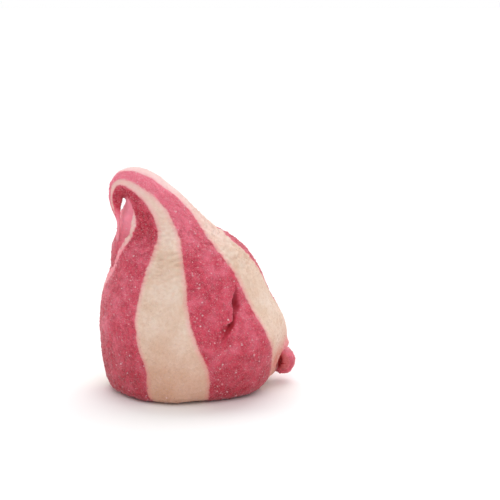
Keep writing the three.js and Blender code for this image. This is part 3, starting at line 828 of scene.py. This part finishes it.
def foam_finish():
    """The crusted skin: matt and soft, pitted as finely as the sugar that is pressed into it."""
    shader = Shader("sugar-crusted foam")
    pits, grit = shader.noise(PIT_SIZE, DETAIL, PIT_ROUGHNESS), shader.noise(GRIT_SIZE, DETAIL)
    height = pits * PIT_SHARE + grit * (1 - PIT_SHARE)
    relief = {"Strength": BUMP_STRENGTH, "Distance": BUMP_HEIGHT * MM, "Height": height}
    bumped = shader.node("Bump", {}, relief)
    return shader.finish(
        Base_Color=stripe_colour(shader), Roughness=ROUGH_FROM + pits * ROUGH_BY, Normal=bumped,
        Subsurface_Weight=0.25, Subsurface_Radius=(1.0, 0.45, 0.35), Subsurface_Scale=1.2 * MM,
        Sheen_Weight=0.5, Sheen_Roughness=0.3, Specular_IOR_Level=0.3,
    )


def sugar_finish(name, clear, roughness):
    """Crystals take the colour of the stripe below, lightened by a share from the first number of
    `clear` to the sum of both, which varies from one crystal to another."""
    shader = Shader(name)
    share = shader.attribute("tint") * clear[1] + clear[0]
    return shader.finish(
        Base_Color=shader.mix(share, stripe_colour(shader), SUGAR), Roughness=roughness,
        IOR=1.54, Specular_IOR_Level=0.5, Sheen_Weight=0.25, Sheen_Roughness=0.35,
    )


# ---- The pieces ----

# How bare of sugar the thread, the neck's wall, the clotted foam and the stub's end are, as shares,
# and the places and depths between which it ends.
THREAD_BARE, WALL_BARE, CLOTTED_BARE, END_BARE = 0.8, 0.8, 0.5, 0.8
SUGAR_ENDS, FOLD_SUGAR_ENDS = (13.0, 15.0), (1.2, 0.3)
# Coarse crystals: few on cream but more low down, and few on the clotted foam.
COARSE_ON_CREAM, COARSE_LOW_DOWN, LOW_DOWN_ENDS = 0.1, 0.6, (13, 3)
COARSE_CLOTTED_BARE = 0.8

skin, stub_skin = Skin(), Stub()
dry = 1 - THREAD_BARE * smoothstep(skin.place, *SUGAR_ENDS)
dry = dry * smoothstep(skin.depth, *FOLD_SUGAR_ENDS) * (1 - WALL_BARE * skin.wall)
dry = dry * (1 - CLOTTED_BARE * skin.inner)
on_pink = smoothstep(skin.seam, -0.2, 0.5) * dry
on_cream = dry - on_pink
on_rim = 1 - END_BARE * stub_skin.raw
low_down = smoothstep(skin.points[..., 2], *LOW_DOWN_ENDS)
loose = (COARSE_ON_CREAM + COARSE_LOW_DOWN * low_down) * on_cream
loose = loose + on_pink * (1 - COARSE_CLOTTED_BARE * skin.inner)

foam = surface_piece("foam", skin)
stub = surface_piece("stub", stub_skin)
# Each kind of sugar: its name, surface and crystal, how many, how long, where, and its seed.
fine_sugar = [
    sugar_piece("dust_sugar_pink", skin, GRAIN, 46000, (0.12, 0.24), on_pink, 29),
    sugar_piece("dust_sugar_cream", skin, GRAIN, 46000, (0.12, 0.22), on_cream, 30),
    sugar_piece("fine_sugar_pink", skin, OCTAHEDRON, 22000, (0.2, 0.42), on_pink, 31),
    sugar_piece("fine_sugar_cream", skin, OCTAHEDRON, 16000, (0.18, 0.34), on_cream, 32),
    sugar_piece("clotted_sugar", skin, cut_crystal(), 160, (0.2, 0.38), on_pink * skin.inner, 35),
    sugar_piece("stub_sugar", stub_skin, OCTAHEDRON, 1800, (0.12, 0.25), on_rim, 34),
]
coarse_sugar = sugar_piece("coarse_sugar", skin, cut_crystal(), 1050, (0.25, 0.55), loose, 33)

foam.data.materials.append(foam_finish())
stub.data.materials.append(foam.data.materials[0])
fine_finish = sugar_finish("fine sugar", clear=(0.0, 0.2), roughness=0.4)
for piece in fine_sugar:
    piece.data.materials.append(fine_finish)
coarse_finish = sugar_finish("coarse sugar", clear=(0.15, 0.45), roughness=0.25)
coarse_sugar.data.materials.append(coarse_finish)

for piece in (foam, stub, *fine_sugar, coarse_sugar):
    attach(piece, "root")
    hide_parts(NODE)

# ---- Floor, light and camera ----

FLOOR_GAP = 0.02  # how far under the sole the floor lies, so that the two never coincide
PAPER_MOTTLE = 40.0
# The walls' strength in front of the piece, how much more it is behind, and the sines between which
# it rises; and the sines of height between which the floor's far edge fades into white.
WALL_LIGHT, WALL_MORE, WALL_TURNS, HORIZON = 0.35, 0.35, (-0.6, 0.8), (0.12, 0.04)
CAMERA_LENS, CAMERA_TILT = 100, 80  # in millimetres, and degrees from straight down
CAMERA_PLACE = (0.01449, -0.30924, 0.08582)  # in metres


def disc_floor(radius=30.0, sides=96):
    """A flat disc under the sole: a ring of points at the radius in metres, closed by one face."""
    turn = 2 * np.pi * np.arange(sides) / sides
    points = np.stack([np.cos(turn), np.sin(turn), 0 * turn], -1) * radius / MM
    points[:, 2] = -FLOOR_GAP
    floor = add_mesh("floor", points, [list(range(sides))], {}, smooth=False)
    shader = Shader("pale paper")
    shade = shader.mix(shader.noise(PAPER_MOTTLE), tone(246, 246, 246), tone(250, 250, 250))
    paper = shader.finish(Base_Color=shade, Roughness=0.9, Specular_IOR_Level=0.1)
    floor.data.materials.append(paper)
    return floor


def sky_light(name, way, spread, strength):
    """A wide, soft light from far off, in the direction given; the spread is its width in degrees."""
    light = bpy.data.lights.new(name, "SUN")
    light.angle, light.energy = np.radians(spread), strength
    lamp = bpy.data.objects.new(name, light)
    lamp.rotation_euler = Vector(way).to_track_quat("Z", "Y").to_euler()
    bpy.context.scene.collection.objects.link(lamp)


def studio_world():
    """White walls all round, brighter behind the piece than in front, and white at the horizon."""
    shader = Shader("studio", bpy.data.worlds, "OutputWorld")
    way = shader.node("TexCoord", {}, {}, "Generated")
    ahead = shader.node("SeparateXYZ", {}, {0: way}, "Y")
    up = shader.node("SeparateXYZ", {}, {0: way}, "Z")
    wall = shader.step(ahead, *WALL_TURNS) * WALL_MORE + WALL_LIGHT
    edge = shader.step(up, *HORIZON)
    strength = wall + edge * (1 - wall)
    white = (1.0, 1.0, 1.0, 1.0)
    return shader.end(shader.node("Background", {}, {"Color": white, "Strength": strength}))


disc_floor()
sky_light("soft_back", (0.1, 0.6, 0.8), 60, 1.7)
sky_light("soft_front", (0.25, -0.6, 0.75), 70, 1.2)
sky_light("soft_left", (-0.9, 0.35, 0.3), 45, 0.6)
bpy.context.scene.world = studio_world()
bpy.context.scene.view_settings.view_transform = "Standard"

camera_data = bpy.data.cameras.new("camera")
camera_data.lens = CAMERA_LENS
camera = bpy.data.objects.new("camera", camera_data)
camera.location = CAMERA_PLACE
camera.rotation_euler = (np.radians(CAMERA_TILT), 0, 0)
bpy.context.scene.collection.objects.link(camera)
bpy.context.scene.camera = camera
